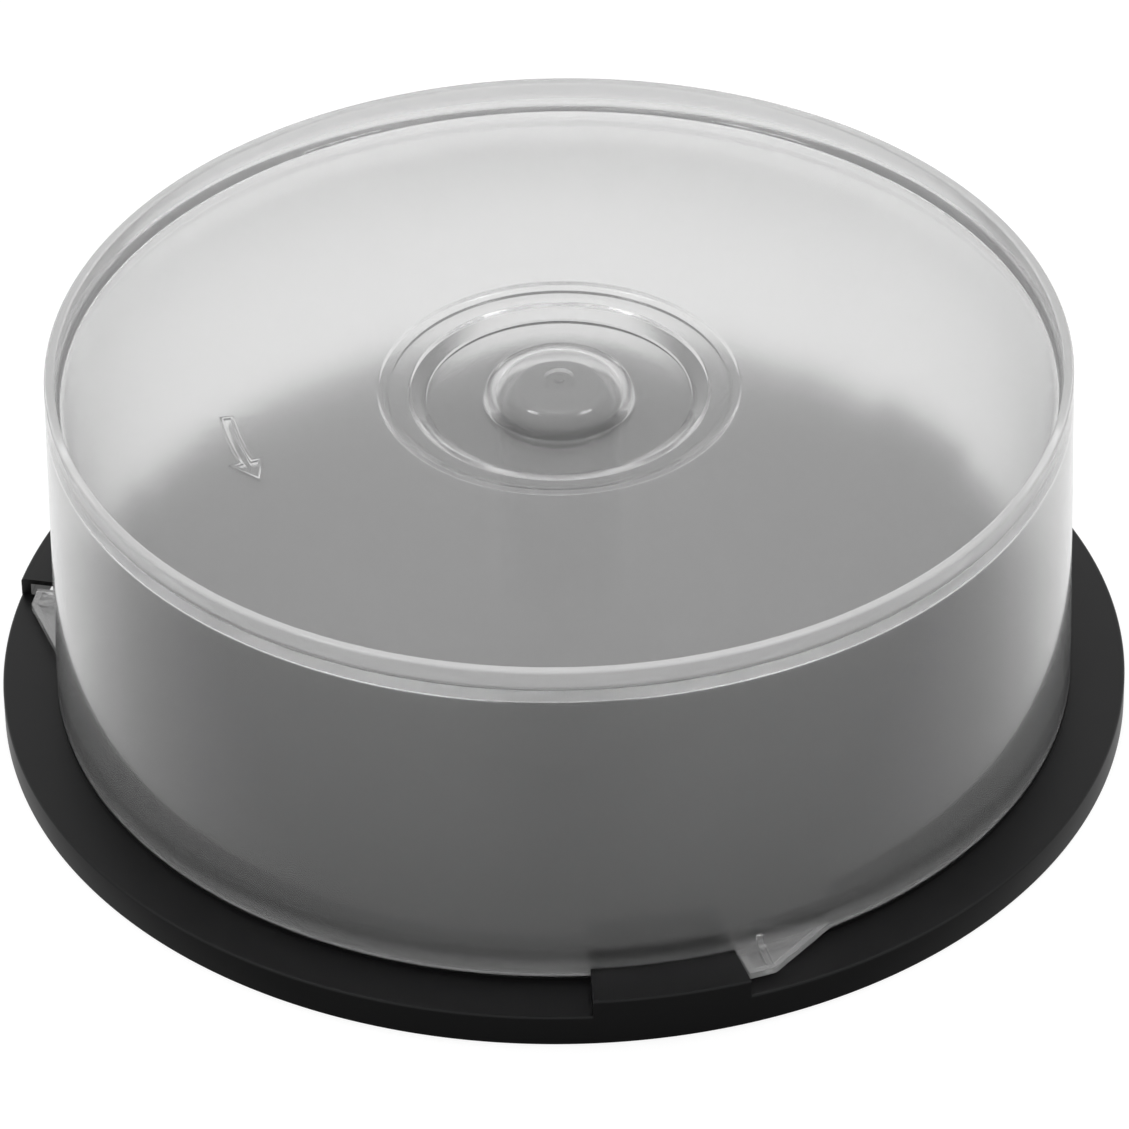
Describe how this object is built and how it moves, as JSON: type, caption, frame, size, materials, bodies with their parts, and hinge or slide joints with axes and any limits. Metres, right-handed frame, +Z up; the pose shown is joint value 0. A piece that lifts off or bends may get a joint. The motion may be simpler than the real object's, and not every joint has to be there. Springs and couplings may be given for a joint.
{
  "type": "cd spindle case",
  "caption": "Round cake-box case for compact discs: black base with a central spindle and three hooks, and a clear lift-off cover.",
  "frame": {"origin": "centre of the base's foot, on the plane it stands on", "axes": "+Z up along the spindle; the camera side of the picture is -Y"},
  "size_m": [0.141, 0.141, 0.05],
  "materials": {
    "black_base": "satin moulded polypropylene",
    "clear_cover": "natural translucent polypropylene, smooth with a light haze"
  },
  "bodies": {
    "base": {"spindle_base": "black_base"},
    "cover": {"cover": "clear_cover"}
  },
  "joints": [
    {"name": "cover_lift", "type": "slide", "parent": "base", "child": "cover", "axis": [0, 0, 1], "range_m": [0, 0.06]}
  ]
}
